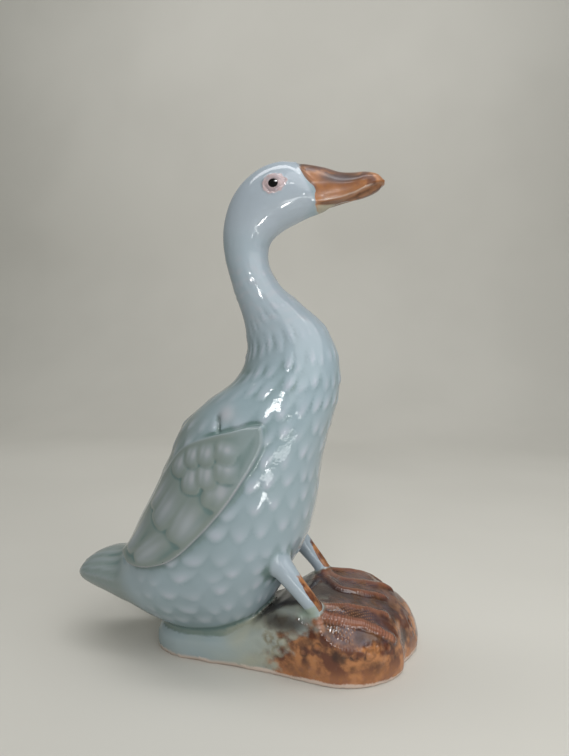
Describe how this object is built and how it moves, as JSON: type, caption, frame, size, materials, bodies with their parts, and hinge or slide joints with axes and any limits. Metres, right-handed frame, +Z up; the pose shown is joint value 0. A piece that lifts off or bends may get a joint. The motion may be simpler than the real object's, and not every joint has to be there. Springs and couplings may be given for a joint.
{
  "type": "ceramic duck figurine",
  "caption": "Glazed ceramic duck standing upright on a low mound, with scale-like feathers, folded wings and webbed feet.",
  "frame": {"origin": "on the table, under the middle of the piece's length and width", "axes": "+X the way the duck faces, +Y its left side, +Z up"},
  "size_m": [0.1716, 0.0798, 0.2356],
  "materials": {
    "duck_figurine": "glossy celadon glaze, brown on the bill, feet and front of the mound"
  },
  "bodies": {
    "root": {"duck_figurine": "duck_figurine"}
  },
  "joints": []
}
